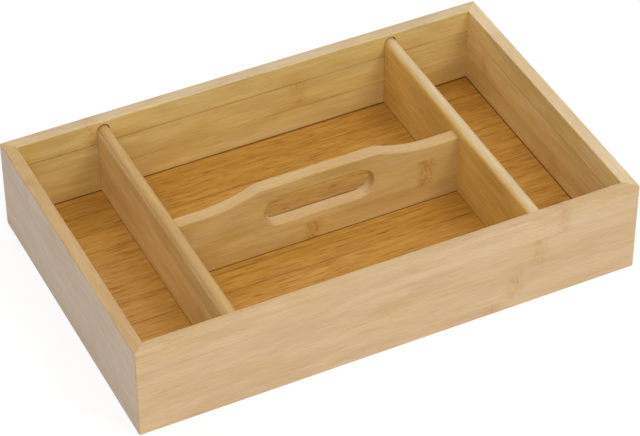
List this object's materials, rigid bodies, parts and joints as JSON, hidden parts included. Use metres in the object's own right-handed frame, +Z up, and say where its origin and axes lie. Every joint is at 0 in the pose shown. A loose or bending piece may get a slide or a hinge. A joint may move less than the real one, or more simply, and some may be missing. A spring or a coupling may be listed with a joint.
{
  "type": "cutlery tray",
  "caption": "Open rectangular bamboo tray with fixed dividers and a raised carrying grip, for sorting, storing and carrying cutlery.",
  "frame": {"origin": "on the table, under the middle of the tray", "axes": "+X along the tray's long side, to the right as seen from the front; +Y to the rear, across the tray; +Z up"},
  "size_m": [0.39, 0.247, 0.076],
  "materials": {
    "wall_bamboo": "laminated bamboo under a satin clear oil",
    "floor_bamboo": "laminated bamboo, a darker board, under a satin clear oil",
    "divider_bamboo": "laminated bamboo under a satin clear oil"
  },
  "bodies": {
    "root": {"front_wall": "wall_bamboo", "rear_wall": "wall_bamboo", "left_wall": "wall_bamboo", "right_wall": "wall_bamboo", "floor_panel": "floor_bamboo", "left_divider": "divider_bamboo", "right_divider": "divider_bamboo", "handle_divider": "divider_bamboo"}
  },
  "joints": []
}
